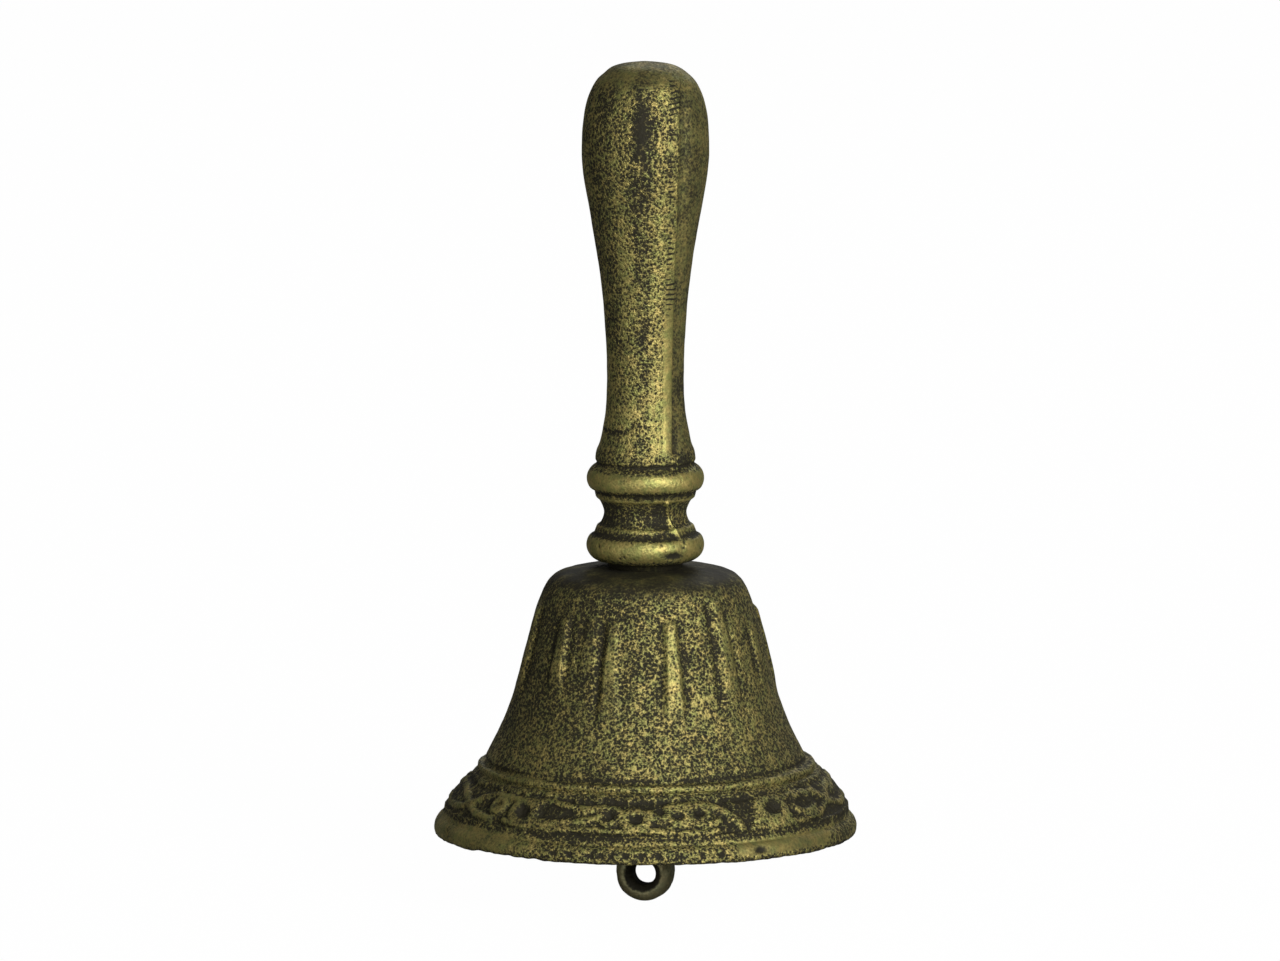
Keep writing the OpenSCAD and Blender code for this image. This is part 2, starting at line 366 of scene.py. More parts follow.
# Places in the rings of the scroll where black paint pools and painted shade darkens the hollow,
# as (azimuth, mm above the rim), and the azimuths of the gas holes in a row along the lip
RING_HOLLOWS = ((-40.5, 10.6), (43.5, 11.4), (54, 11.4), (61.5, 11.2), (-11, 11.1), (-3, 10.3),
         (16, 11.3))
LIP_PITS = (-25.5, -21, -15, -12, -9.5, -5.5, -1, 3.5, 9, 15.5, 21)
# Grooves, as (height above the rim, half width) in mm
FOOT_GROOVE = (18.0, 0.55)
OVER_SCROLL = (14.2, 0.45)
UNDER_SCROLL = (5.9, 0.8)
# Heights above the rim in mm where the shoulder's smooth film and its painted shade start and end,
# which the strokes of the scroll keep between, and where the lip ends
SHOULDER = (58, 63.5)
strokes_low, strokes_high = 5.5, 15.5
lip_top = 5.4
rim_r_least = 44


def flare_relief(azimuth, up, r):
    """The same from the crown down to the foot of the flare, with painted light right of the
    front, painted shade at the left and painted shade on the shoulder.
    """
    lift, worn, smooth = 0, 0, 0
    if ribs_low < up < ribs_high:
        lift, worn, smooth = rib_relief(azimuth, up, r)
    shoulder = step(up, *SHOULDER)
    # painted light and shade: the waist is painted lighter right of the front, where the key light
    # falls, and darker at the left
    rubbed = window(azimuth, *RIGHT_PAINTED_LIGHT) - window(azimuth, *LEFT_PAINTED_SHADE)
    # painted shade: the shoulder, which faces up, is painted darker
    worn += 0.35 * rubbed * window(up, 30, 56, 8) - 0.65 * shoulder
    return lift, worn, max(smooth, shoulder)


def foot_relief(azimuth, up, calm):
    """The same for the dark groove between the flare and the bead."""
    groove = (1 - 0.4 * calm) * hump(up, *FOOT_GROOVE)
    groove *= 1 + 0.4 * noise.noise(Vector((azimuth / 5, 0, 3)))
    return -0.4 * groove, -2.2 * groove, 0


def bead_relief(azimuth, s):
    """The same for the bead, which is brightest along its upper half."""
    worn = 0.8 - 1.0 * step(s, crown_end + 3.4 * mm, band_start)
    return -0.55 * window(azimuth, *LEFT_THIN), worn, 0.45 * window(azimuth, *LEFT_SMOOTH)


def band_relief(at, azimuth, up, calm):
    """The same for the scroll, its ground, and the grooves over and under it."""
    grain = uneven(at, 1.5)
    ground = step(up, scroll_low - 0.5, scroll_low + 0.3)
    ground *= 1 - step(up, scroll_high, scroll_high + 0.8)
    scroll = scroll_height(azimuth, up) if strokes_low < up < strokes_high else 0
    # the relief is worn low at both sides, where the band itself is thin or full
    depth = 0.75 - 0.5 * hump(abs(azimuth), 90, 20)
    lift = -depth * (1 + 0.4 * grain) * ground * (1 - scroll)
    lift -= 0.4 * window(azimuth, *LEFT_THIN) * step(up, 8, 14)
    lift += 0.6 * window(azimuth, *RIGHT_FULL) * window(up, 6.5, 14, 3)
    paint = (1.5 + 1.5 * grain) * (1 - 0.5 * calm)
    worn = ground * ((0.7 + 0.9 * grain) * scroll - paint * (1 - scroll))
    # paint lies thick in the middle of the rings, and painted shade darkens these hollows further
    pooled_paint_and_shade = max(spot(azimuth, up, *middle, 2.1, 1.2) for middle in RING_HOLLOWS)
    lift -= 0.3 * pooled_paint_and_shade
    worn -= 2.6 * pooled_paint_and_shade
    grooves = hump(up, *OVER_SCROLL) * (0.6 + 1.2 * grain)
    grooves += hump(up, *UNDER_SCROLL) * (1 + 0.5 * grain)
    lift -= 0.5 * grooves * (1 - 0.6 * hump(abs(azimuth), 90, 26))
    worn -= 1.2 * grooves * (1 - 0.5 * calm)
    return lift, worn, calm * ground * (0.4 + 0.2 * scroll)


def lip_relief(azimuth, up, calm):
    """The same for the lip. Its left is smooth, its front has gas holes along the lower edge, and
    a patch on the right was ground flat and chipped. Its lowest edge, which faces down, is painted
    darker as painted shade."""
    patch = window(azimuth + 2 * noise.noise(Vector((up, 0, azimuth / 9))), *GROUND_FLAT)
    patch_foot = 1.5 + 0.3 * noise.noise(Vector((azimuth / 4, 0, 0)))
    patch *= window(up, patch_foot, 4.4, 0.5)
    chip = spot(azimuth, up, 33, 2.4, 1.5, 0.8)
    pit = max(hump(azimuth, middle, 0.75) for middle in LIP_PITS) * hump(up, 2.1, 0.65)
    # painted shade on the lowest edge of the lip, which faces down
    lower_edge_shade = 1 - step(up, 0.1, 0.9)
    lift = -0.15 * patch - 0.6 * chip - 0.5 * pit
    worn = 0.45 + 0.25 * patch - 3 * chip - 4.0 * pit + 0.2 * calm - 1.2 * lower_edge_shade
    return lift, worn, max(0.95 * patch, 0.75 * calm)


def inside_relief(at, up):
    """The same for the inside, where a little gold was carried in past the mouth."""
    worn = 1.8 * (1 - step(up, 0.5, 9)) - 2.3 + 1.2 * uneven(at, 5)
    return 0.2 * uneven(at, 6), worn, 0


def together(zones):
    """Adds up the lift and the wear, with its painted light and shade, of some zones, and takes
    the smoothest of them.
    """
    lifts, wears, films = zip(*zones)
    return sum(lifts), sum(wears), max(films)


bell.normal_update()
moves = []
for v in bell.verts:
    s = v[along]
    at = v.co / mm
    r = at.xy.length
    up = at.z - rim_z / mm
    azimuth = degrees(atan2(at.x, -at.y))
    # the casting is smooth at the left, where its relief hardly holds any paint
    calm = 1 - step(azimuth, -46, -30)
    zones = []
    if 0 < s <= lip_end:
        # the slow unevenness of a sand casting
        zones.append((0.12 * uneven(at, 8) + 0.08 * uneven(at, 2.4), 0.5 * uneven(at, 5), 0))
    if s <= crown_end:
        zones.append(flare_relief(azimuth, up, r))
    if s < band_start:
        zones.append(foot_relief(azimuth, up, calm))
    if crown_end < s < band_start:
        zones.append(bead_relief(azimuth, s))
    if band_start <= s <= lip_end:
        zones.append(band_relief(at, azimuth, up, calm))
    if band_start < s <= lip_end and up < lip_top:
        zones.append(lip_relief(azimuth, up, calm))
    if s > lip_end:
        zones.append(inside_relief(at, up))
    lift, v[rub_and_painted_light], v[film] = together(zones)
    move = v.normal * lift * mm
    if up < 1.5 and r > rim_r_least:
        # the sand broke away under one stretch of the rim, so its edge is ragged
        ragged = 0.6 + 0.8 * noise.noise(Vector((azimuth / 3, 1, 1)))
        ragged *= window(azimuth, *RAGGED_RIM)
        move.z += (0.5 * ragged + 0.15 * noise.noise(Vector((azimuth / 2, 3, 1)))) * mm
    moves.append((v, move))
push_out(moves)


def rubbed_gold(name, gold, black=("#13120c", "#282519"), olive=("#565636", "#8d8c50"),
                warm=("#686036", "#b2a062")):
    """Black paint on sand-cast iron with antique gold rubbed over it. The gold catches on the sand
    grains and on the high places, named by the attribute "rub", which in places also carries
    painted light and painted shade, and misses the pits, which look almost black. Where the iron
    was ground or handled smooth, named by "film", the grains are gone and the gold lies as an even
    film. The powder is metal in a binder, so it has a broad satin gleam, and it was rubbed on
    thinner and greener in some places than in others. The grain is 0.42 mm, as coarse foundry sand
    leaves it."""
    m = bpy.data.materials.new(name)
    m.use_nodes = True
    m.node_tree.nodes.clear()
    per_mm = 1000
    place = add(m, "TexCoord").outputs["Object"]
    worn = add(m, "Attribute", {"attribute_name": "rub_and_painted_light"}).outputs["Fac"]
    even = add(m, "Attribute", {"attribute_name": "film"}).outputs["Fac"]
    filed = add(m, "Attribute", {"attribute_name": "filed"}).outputs["Fac"]
    grain = add(m, "TexNoise", Vector=place, Scale=per_mm / 0.42, Detail=2.0, Roughness=0.65)
    pits = add(m, "TexVoronoi", Vector=place, Scale=per_mm / 0.8)
    patch = add(m, "TexNoise", Vector=place, Scale=per_mm / 7, Detail=3.0, Roughness=0.6)
    cloud = add(m, "TexNoise", Vector=place, Scale=per_mm / 34, Detail=2.0)
    tint = add(m, "TexNoise", Vector=place, Scale=per_mm / 2.6, Detail=3.0, Roughness=0.7)
    # bands of scale 1 repeat every 2 pi / 20 of the object's units
    file_marks = add(m, "TexWave", {"wave_type": "BANDS", "bands_direction": "Z"}, Vector=place,
                     Scale=2 * pi / 20 * per_mm / 1.25, Distortion=3.5, Detail=2.0,
                     Detail_Scale=0.9)
    # how much gold: the grain and its pits, then patches, then the wear of the shape itself, with
    # the painted light and shade it carries
    speck = add(m, "Math", {"operation": "MULTIPLY_ADD"}, i0=pits.outputs["Distance"], i1=0.5,
                i2=grain.outputs["Fac"])
    centred = add(m, "Math", {"operation": "SUBTRACT"}, i0=speck.outputs["Value"], i1=0.76)
    sandy = add(m, "MapRange", Value=even, To_Min=1.0, To_Max=0.15)
    speckle = add(m, "Math", {"operation": "MULTIPLY"}, i0=centred.outputs["Value"],
                  i1=sandy.outputs["Result"])
    broad = add(m, "Math", {"operation": "MULTIPLY_ADD"}, i0=patch.outputs["Fac"], i1=0.26,
                i2=speckle.outputs["Value"])
    broader = add(m, "Math", {"operation": "MULTIPLY_ADD"}, i0=cloud.outputs["Fac"], i1=0.2,
                  i2=broad.outputs["Value"])
    shaped = add(m, "Math", {"operation": "MULTIPLY_ADD"}, i0=worn, i1=0.12,
                 i2=broader.outputs["Value"])
    stroke = add(m, "MapRange", Value=file_marks.outputs["Fac"], From_Min=0.6, From_Max=0.85)
    filed_away = add(m, "Math", {"operation": "MULTIPLY"}, i0=stroke.outputs["Result"], i1=filed)
    level = add(m, "Math", {"operation": "MULTIPLY_ADD"}, i0=filed_away.outputs["Value"], i1=-0.4,
                i2=shaped.outputs["Value"])
    share = add(m, "MapRange", {"interpolation_type": "SMOOTHSTEP"}, Value=level.outputs["Value"],
                From_Min=0.15 - gold, From_Max=0.45 - gold)
    paint = add(m, "Mix", {"data_type": "RGBA"}, Factor=tint.outputs["Fac"], A=linear(black[0]),
                B=linear(black[1]))
    bright = add(m, "MapRange", Value=level.outputs["Value"], From_Min=0.22 - gold,
                 From_Max=0.62 - gold)
    green = add(m, "Mix", {"data_type": "RGBA"}, Factor=bright.outputs["Result"],
                A=linear(olive[0]), B=linear(olive[1]))
    golden = add(m, "Mix", {"data_type": "RGBA"}, Factor=bright.outputs["Result"],
                 A=linear(warm[0]), B=linear(warm[1]))
    hue = add(m, "MapRange", Value=tint.outputs["Fac"], From_Min=0.38, From_Max=0.64)
    leaf = add(m, "Mix", {"data_type": "RGBA"}, Factor=hue.outputs["Result"],
               A=green.outputs["Result"], B=golden.outputs["Result"])
    colour = add(m, "Mix", {"data_type": "RGBA"}, Factor=share.outputs["Result"],
                 A=paint.outputs["Result"], B=leaf.outputs["Result"])
    satin = add(m, "MapRange", Value=even, To_Min=0.48, To_Max=0.54)
    rough = add(m, "MapRange", Value=share.outputs["Result"], To_Min=0.7,
                To_Max=satin.outputs["Result"])
    metal = add(m, "MapRange", Value=share.outputs["Result"], To_Min=0.0, To_Max=0.85)
    grit = add(m, "Bump", Height=speckle.outputs["Value"], Strength=1.0, Distance=0.3 * mm)
    lumps = add(m, "Bump", Height=patch.outputs["Fac"], Strength=0.5, Distance=0.8 * mm,
                Normal=grit.outputs["Normal"])
    shader = add(m, "BsdfPrincipled", Base_Color=colour.outputs["Result"],
                 Roughness=rough.outputs["Result"], Metallic=metal.outputs["Result"],
                 Normal=lumps.outputs["Normal"], Specular_IOR_Level=0.12)
    add(m, "OutputMaterial", Surface=shader.outputs["BSDF"])
    return m


bell_finish = rubbed_gold("antique_gold_on_sand_cast_iron", 0.05)
piece_from(bell, "bell_casting", bell_finish, "bell", ["bell_body"])


# ---------------------------------------------------------------------------------------------
# Handle: one iron casting from a two-part mould, with a swelling grip, two collar rings and a
# round foot. The mould's halves met a little out of line, which left a long step down each side
# of the grip, and the flash beside the step was ground off to a bright flat.
# ---------------------------------------------------------------------------------------------
grip_low, grip_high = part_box("handle")
grip_r = (grip_high[0] - grip_low[0]) / 2
seat_z = grip_low[2]
handle_h = grip_high[2] - grip_low[2]
foot_r = 8.7 * mm
foot_h = 1.3 * mm
collar_r = 14.1 * mm
collar_bulge = 3.8 * mm
upper_collar_z = seat_z + 0.177 * handle_h
lower_collar_z = seat_z + 0.045 * handle_h
bolt_bore_deep = 25 * mm
GRIP = [(0, 1), (0.45, 0.991), (0.667, 0.975), (0.822, 0.952), (0.945, 0.908), (1, 0.845),
        (0.97, 0.777), (0.842, 0.682), (0.719, 0.587), (0.64, 0.492), (0.604, 0.38),
        (0.62, 0.317), (0.706, 0.255), (0.77, 0.232), (0.79, 0.214), (0.785, 0.207)]
WAIST = [(0.77, 0.143), (0.7, 0.129), (0.65, 0.111), (0.68, 0.094), (0.755, 0.08)]


def grip_mm(knots):
    """Knots given as shares of the grip's radius and the handle's height, in metres."""
    return [(r * grip_r, seat_z + z * handle_h) for r, z in knots]


collar_in = collar_r - collar_bulge
handle_outline = (smooth_line(grip_mm(GRIP), 13)
                  + round_line((collar_in, upper_collar_z), collar_bulge, 62, -55, 18)
                  + smooth_line(grip_mm(WAIST), 8)
                  + round_line((collar_in, lower_collar_z), collar_bulge, 55, -80, 18)
                  + [Vector((foot_r + 0.3 * mm, seat_z + foot_h)), Vector((foot_r, seat_z)),
                     Vector((bolt_hole_r, seat_z)), Vector((bolt_hole_r, seat_z + bolt_bore_deep)),
                     Vector((0, seat_z + bolt_bore_deep))])
handle = turned(handle_outline, 256, False)
rub_and_painted_light = handle.verts.layers.float.new("rub_and_painted_light")
film = handle.verts.layers.float.new("film")
filed = handle.verts.layers.float.new("filed")

# Heights over the seat in mm, as (start, end, softness of both ends)
LOWER_COLLAR = (3.4, 7.4, 0.9)
UPPER_COLLAR = (20.2, 23.4, 0.9)
WAIST_HOLLOW = (10.6, 16.6, 0.5)
HIGH_FILING = (92, 117, 4)
LOW_FILING = (64, 80, 4)
# Lean fillets against the collars and dark necks beside them, as (height, half width) in mm
FILLETS = ((17.3, 0.55), (10.0, 0.5))
NECKS = ((18.6, 0.5), (8.6, 0.55), (25.6, 0.45))
# Long strips of the grip with more or less gold, as (start, end, softness of both ends, gold
# added). The first three are in degrees from the middle of the front.
STRIPS = ((-30, -16, 4, 0.35), (-11, 3, 4, -0.5), (-56, -38, 6, -0.45))


def on_grip(up):
    """1 along the grip, and 0 at its ends."""
    return step(up, 27, 30) * (1 - step(up, 116, 121))


def mould_step(up, side_x):
    """Lift in mm, wear with a little painted shade, smoothness and file marks of the step down the
    grip and of the flat that was ground beside it."""
    # the step keeps a nearly straight line, this far to the right of the axis
    edge_x = 6.4 + 1.8 * step(up, 45, 110) + 0.15 * noise.noise(Vector((up / 7, 0, 0)))
    grip = on_grip(up)
    edge_soft = 0.18 + 0.4 * (1 - grip)
    beyond = step(side_x, edge_x - edge_soft, edge_x + edge_soft)
    ground = window(side_x, edge_x - 2.0, edge_x, 0.5) * (1 - beyond)
    facet = window(side_x, edge_x - 4.6, edge_x, 1.6) * (1 - beyond)
    low_grip = 1 - step(up, 58, 84)
    lift = 0.2 * facet - 0.4 * beyond * (1 - step(side_x, edge_x + 1, edge_x + 3))
    # painted shade: the lower side beyond the step is painted a little darker
    worn = 0.55 * facet + 0.5 * ground * low_grip - 0.1 * beyond
    # the palm rubs the lower front
    worn += 0.9 * (1 - step(up, 40, 58)) * (1 - step(side_x, 4, 6))
    smooth = max(ground * (0.25 + 0.65 * low_grip), 0.72 * beyond)
    filing = max(window(side_x, edge_x - 2.2, edge_x - 0.2, 0.7) * window(up, *HIGH_FILING),
                 window(side_x, edge_x - 1.8, edge_x + 0.3, 0.6) * window(up, *LOW_FILING))
    filing *= step(noise.noise(Vector((side_x / 3, up / 5, 8))), -0.35, 0.25)
    return grip * lift, grip * worn, grip * smooth, grip * filing


def grip_marks(up, front):
    """Lift in mm, wear and smoothness of the strips, the scab, the crack and the top."""
    worn = sum(gold * window(front, start, end, soft) for start, end, soft, gold in STRIPS)
    scab = spot(front, up, -4, 106, 6, 6)
    # cold shut: a crack where two tongues of iron met
    crack_up = 33.6 + 2.2 * step(front, -32, -14)
    crack = hump(up, crack_up, 0.42) * (1 - step(front, -17, -13))
    # the top was handled smooth
    top = step(up, 113, 120)
    worn = on_grip(up) * worn - 1.2 * scab - 3 * crack + 0.5 * top
    return 0.15 * scab - 0.45 * crack, worn, max(0.6 * scab, 0.8 * top)


def collar_marks(at, up, front):
    """The same for the collars, which the hand polishes, the waist and the foot, with a darker
    patch in the corner over the upper collar and painted shade at the foot under the lower collar.
    """
    fillets = sum(hump(up, *fillet_at) for fillet_at in FILLETS)
    necks = sum(hump(up, *neck_at) for neck_at in NECKS)
    collars = window(up, *UPPER_COLLAR) + window(up, *LOWER_COLLAR)
    lift = 0.28 * fillets - 0.3 * necks
    worn = 1.3 * fillets - 2.0 * necks + 1.6 * collars - 0.6 * window(up, *WAIST_HOLLOW)
    # flash along the joint of the mould, left in the waist, with paint caked beside it
    flash = hump(front, 33 + 1.6 * (13 - up), 2.2) * window(up, 8.6, 17, 0.6)
    caked = window(front, 12, 30, 3) + 0.5 * window(front, -80, -26, 8)
    lift += 0.55 * flash
    worn += 3.2 * flash - 1.4 * caked * window(up, 9.5, 16, 1)
    # a darker patch in the corner over the upper collar, and a dent and gas holes in the lower one
    corner_darkening = spot(front, up, 54, 26.8, 11, 1.3)
    dent = spot(front, up, 30, 4.3, 10, 0.8)
    gas_holes = step(uneven(at, 1.1), 0.42, 0.55) * window(up, 2.6, 8, 0.5)
    lift -= 0.4 * dent + 0.25 * gas_holes
    worn -= 2.2 * corner_darkening + 4.5 * dent + 2.4 * gas_holes
    # the collar shelters the foot from the rag, so its paint stays dark, and it is painted darker
    # still as painted shade under the collar
    foot = 1 - step(up, 1.3, 2.6)
    return lift, worn - 1.2 * foot, max(0.45 * fillets, 0.72 * collars, 0.9 * foot)


handle.normal_update()
bore_r, bore_top = 3.2, 60
moves = []
for v in handle.verts:
    at = v.co / mm
    r = at.xy.length
    up = at.z - seat_z / mm
    if r < bore_r and up < bore_top:
        # no gold got into the bore
        v[rub_and_painted_light] = -3
        continue
    azimuth = degrees(atan2(at.x, -at.y))
    # the two halves of the casting are alike, half a turn apart
    front = azimuth if at.y < 0 else turn_from(azimuth, 180)
    *step_marks, v[filed] = mould_step(up, r * sin(radians(front)))
    casting = (0.13 * uneven(at, 9) + 0.05 * uneven(at, 3), 0.5 * uneven(at, 6), 0)
    lift, v[rub_and_painted_light], v[film] = together([casting, step_marks, grip_marks(up, front),
                                      collar_marks(at, up, front)])
    moves.append((v, v.normal * lift * mm))
push_out(moves)

handle_finish = rubbed_gold("antique_gold_on_ground_cast_iron", 0.07)
piece_from(handle, "handle_casting", handle_finish, "bell", ["handle"])


# ---------------------------------------------------------------------------------------------
# Clapper: one small iron casting, with a top eye, a shank, a ball and a thick tail ring that
# hangs below the rim. It was dipped in the same black paint and hardly rubbed.
# ---------------------------------------------------------------------------------------------
train_turn = radians(-12)
clapper_low, clapper_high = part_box("clapper")
ball_r = 10 * mm
ball_z = rim_z + 10.1 * mm
shank_r = 2.7 * mm
top_eye_r = 4.3 * mm
top_eye_wire = 3.5 * mm
top_eye_z = clapper_high[2] - top_eye_r - top_eye_wire / 2
tail_r = 6.8 * mm
tail_half_t = 3.7 * mm
tail_edge = 2.2 * mm
tail_z = clapper_low[2] + tail_r
tongue_half_t = 2.6 * mm
hole_r = 2.8 * mm
hole_half_land = 1.5 * mm


def stood_on_edge(bm, z, turn):
    """Stands a ring on edge, with its hole along Y, then lifts it and turns it about the axis."""
    place = (Matrix.Rotation(turn, 4, "Z") @ Matrix.Translation((0, 0, z))
             @ Matrix.Rotation(pi / 2, 4, "X"))
    bmesh.ops.transform(bm, matrix=place, verts=bm.verts)
    return bm


def wire_ring(r, wire_d, steps):
    """A lying ring of round wire."""
    return turned(round_line((r, 0), wire_d / 2, 0, 345, 23), steps, True)


def cast_in_one(parts, voxel, rounds):
    """One closed skin over shapes that overlap, with small fillets where they meet."""
    whole = bmesh.new()
    for part in parts:
        mesh = bpy.data.meshes.new("part")
        part.to_mesh(mesh)
        part.free()
        whole.from_mesh(mesh)
        bpy.data.meshes.remove(mesh)
    mesh = bpy.data.meshes.new("parts")
    whole.to_mesh(mesh)
    whole.free()
    holder = bpy.data.objects.new("parts", mesh)
    bpy.context.scene.collection.objects.link(holder)
    remesh = holder.modifiers.new("skin", "REMESH")
    remesh.mode = "VOXEL"
    remesh.voxel_size = voxel
    evaluated = holder.evaluated_get(bpy.context.evaluated_depsgraph_get())
    skin = bmesh.new()
    skin.from_mesh(evaluated.to_mesh())
    evaluated.to_mesh_clear()
    bpy.data.objects.remove(holder)
    for again in range(rounds):
        bmesh.ops.smooth_vert(skin, verts=skin.verts, factor=0.5, use_axis_x=True, use_axis_y=True,
                              use_axis_z=True)
    bmesh.ops.recalc_face_normals(skin, faces=skin.faces)
    skin.normal_update()
    return skin


fillet = 2 * mm
ball_top = degrees(asin((shank_r + fillet) / (ball_r + fillet)))
fillet_z = ball_z + (ball_r + fillet) * cos(radians(ball_top))
shank_line = (round_line((0, ball_z), ball_r, -90, 90 - ball_top, 30)
              + round_line((shank_r + fillet, fillet_z), fillet, 270 - ball_top, 180, 6)[1:]
              + [Vector((shank_r, top_eye_z - top_eye_r - 0.4 * mm)),
                 Vector((0, top_eye_z - top_eye_r))])
shank_line[0] = Vector((0, ball_z - ball_r))
flare = tail_half_t - hole_half_land
tail_line = (round_line((tail_r - tail_edge, tail_half_t - tail_edge), tail_edge, 90, 0, 8)
             + round_line((tail_r - tail_edge, tail_edge - tail_half_t), tail_edge, 0, -90, 8)
             + round_line((hole_r + flare, -hole_half_land), flare, 250, 180, 6)
             + round_line((hole_r + flare, hole_half_land), flare, 180, 110, 6))
tail_ring = stood_on_edge(turned(tail_line, 96, True), tail_z, train_turn)

# the flat tongue between the tail's ring and the ball, hollowed under for the ring's hole
tongue_top = ball_z - ball_r + 2 * mm - tail_z
arch = round_line((0, 0), hole_r + 1.6 * mm, 0, 180, 16)
tongue_outline = [(p[0], p[1]) for p in arch] + [
    (-tail_r, 0), (-tail_r, 5 * mm), (mm - tail_r, tongue_top), (tail_r - mm, tongue_top),
    (tail_r, 5 * mm), (tail_r, 0)]
tongue = bmesh.new()
tongue_face = tongue.faces.new([tongue.verts.new((x, y, -tongue_half_t))
                                for x, y in tongue_outline])
pulled = bmesh.ops.extrude_face_region(tongue, geom=[tongue_face])
bmesh.ops.translate(tongue, vec=(0, 0, 2 * tongue_half_t),
                    verts=[g for g in pulled["geom"] if isinstance(g, bmesh.types.BMVert)])
if tongue_face.is_valid:
    tongue_face.normal_flip()
bmesh.ops.recalc_face_normals(tongue, faces=tongue.faces)
stood_on_edge(tongue, tail_z, train_turn)
top_eye = stood_on_edge(wire_ring(top_eye_r, top_eye_wire, 96), top_eye_z, train_turn)
clapper = cast_in_one([turned(shank_line, 96, False), tail_ring, tongue, top_eye], 0.28 * mm, 3)

rub_and_painted_light = clapper.verts.layers.float.new("rub_and_painted_light")
film = clapper.verts.layers.float.new("film")
across_train = Vector((-sin(train_turn), cos(train_turn), 0))
moves = []
for v in clapper.verts:
    z = v.co.z
    off = v.co.dot(across_train)
    from_hole = hypot((v.co - across_train * off).xy.length, z - tail_z)
    in_hole = 1 - step(from_hole, hole_r + 1.1 * mm, hole_r + 2.3 * mm)
    eye_zone = step(z, top_eye_z - 7 * mm, top_eye_z - 5 * mm)
    on_ball = 1 - step(abs(z - ball_z), 8.5 * mm, 10 * mm)
    # the sand's unevenness and the line where the halves of the mould met
    parting = hump(off / mm, 0.2, 0.35) * (1 - in_hole)
    lift = 0.14 * uneven(v.co, 5 * mm) + 0.08 * uneven(v.co, 1.8 * mm) + 0.16 * parting
    lift *= 1 - eye_zone
    # the ball is dented bright where it strikes
    struck = on_ball * step(v.normal.z + 0.3 * uneven(v.co, 2.5 * mm), -0.55, 0.35)
    struck *= 1 - step(v.normal.z, 0.25, 0.6)
    lift -= 0.1 * struck * step(uneven(v.co, 1.4 * mm), 0.1, 0.4)
    # the lowest point stays where it is
    lift *= step(z, clapper_low[2], clapper_low[2] + 2 * mm)
    moves.append((v, v.normal * lift * mm))
    # painted light: the tail below the rim is painted lighter than the parts inside the bell
    below_rim_light = 1 - step(z, rim_z - 2 * mm, rim_z)
    v[rub_and_painted_light] = (0.7 * struck + 0.5 * uneven(v.co, 3 * mm) - 3.5 * in_hole - 0.9 * eye_zone
              + 0.5 * below_rim_light)
    v[film] = max(0.85 * (1 - on_ball), 0.4 * struck)
push_out(moves)
clapper_finish = rubbed_gold("worn_black_and_gold_on_cast_iron", 0.25,
                             olive=("#4c4d3a", "#7a795a"), warm=("#56523a", "#8e8562"))
piece_from(clapper, "clapper_casting", clapper_finish, "striker", ["clapper"])


# ---------------------------------------------------------------------------------------------
# Eye bolt and hanger ring: zinc-plated mild steel wire. The bolt's eye is forged closed, and the
# ring is bent round and butt-welded, which leaves a swelling. Both are rubbed where they bear.
# ---------------------------------------------------------------------------------------------
eye_low, eye_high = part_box("eye_bolt")
eye_r = 4.7 * mm
eye_wire = 3.8 * mm
eye_z = eye_low[2] + eye_wire / 2 + eye_r
bolt_r = 3 * mm
bolt_ease = 0.7 * mm
bolt_foot = eye_z + eye_r - 0.6 * mm
bolt_line = [Vector((0, bolt_foot)), Vector((bolt_r, bolt_foot)),
             Vector((bolt_r, eye_high[2] - bolt_ease)), Vector((bolt_r - bolt_ease, eye_high[2])),
             Vector((0, eye_high[2]))]
eye = stood_on_edge(wire_ring(eye_r, eye_wire, 96), eye_z, train_turn)
bolt = cast_in_one([turned(bolt_line, 64, False), eye], 0.25 * mm, 2)
rub_and_painted_light = bolt.verts.layers.float.new("rub_and_painted_light")
for v in bolt.verts:
    inward = -v.normal.dot(Vector((v.co.x, v.co.y, v.co.z - eye_z)).normalized())
    v[rub_and_painted_light] = step(inward, 0.2, 0.9) * (1 - step(v.co.z, eye_z - eye_r, eye_z - 0.5 * eye_r))

ring_low, ring_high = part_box("hanger_ring")
ring_r = 5.75 * mm
ring_wire = 2.6 * mm
ring_z = (ring_low[2] + ring_high[2]) / 2
hanger = wire_ring(ring_r, ring_wire, 128)
rub_and_painted_light = hanger.verts.layers.float.new("rub_and_painted_light")
hanger.normal_update()
moves = []
for v in hanger.verts:
    # the weld is at one side, clear of both links
    at = degrees(atan2(v.co.y, v.co.x))
    weld = hump(at, 20, 5) + 0.6 * hump(at, 29, 1.5) + 0.6 * hump(at, 11, 1.5)
    moves.append((v, v.normal * 0.16 * mm * weld))
    inward = -v.normal.dot(v.co.normalized())
    v[rub_and_painted_light] = step(inward, 0.3, 0.9) * (hump(at, 90, 30) + hump(at, -90, 30))
push_out(moves)
stood_on_edge(hanger, ring_z, train_turn + pi / 2)


